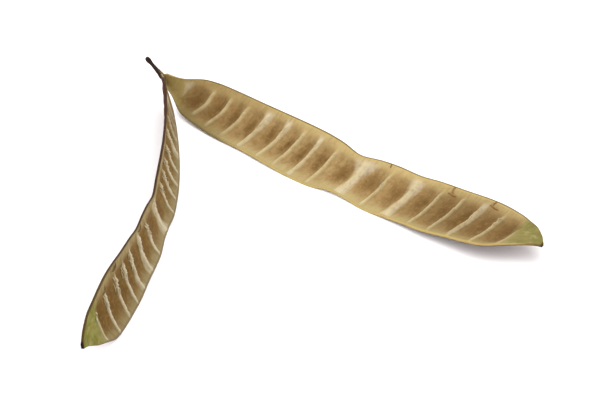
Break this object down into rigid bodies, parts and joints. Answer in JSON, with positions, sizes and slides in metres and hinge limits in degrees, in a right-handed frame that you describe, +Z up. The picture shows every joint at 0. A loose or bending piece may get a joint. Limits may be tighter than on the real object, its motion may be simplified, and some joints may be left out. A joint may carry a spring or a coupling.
{
  "type": "white leadtree pod",
  "caption": "Opened dry pod on its short woody stalk: one half lies hollow side up, the other stands on its edge; cross ridges part the empty seed pockets.",
  "frame": {"origin": "middle of the pod's footprint, on the surface that it lies on", "axes": "+Z up, +Y towards the stalk, +X towards the tip of the lying half"},
  "size_m": [0.1026, 0.1226, 0.0156],
  "materials": {
    "stalk_bark": "dry, dull dark brown bark",
    "lying_half": "dry, papery tan inside with a slight sheen, red-brown outside",
    "standing_half": "dry, papery tan-brown inside, red-brown outside"
  },
  "bodies": {
    "root": {"stalk": "stalk_bark", "valve_lying": "lying_half", "valve_standing": "standing_half"}
  },
  "joints": []
}
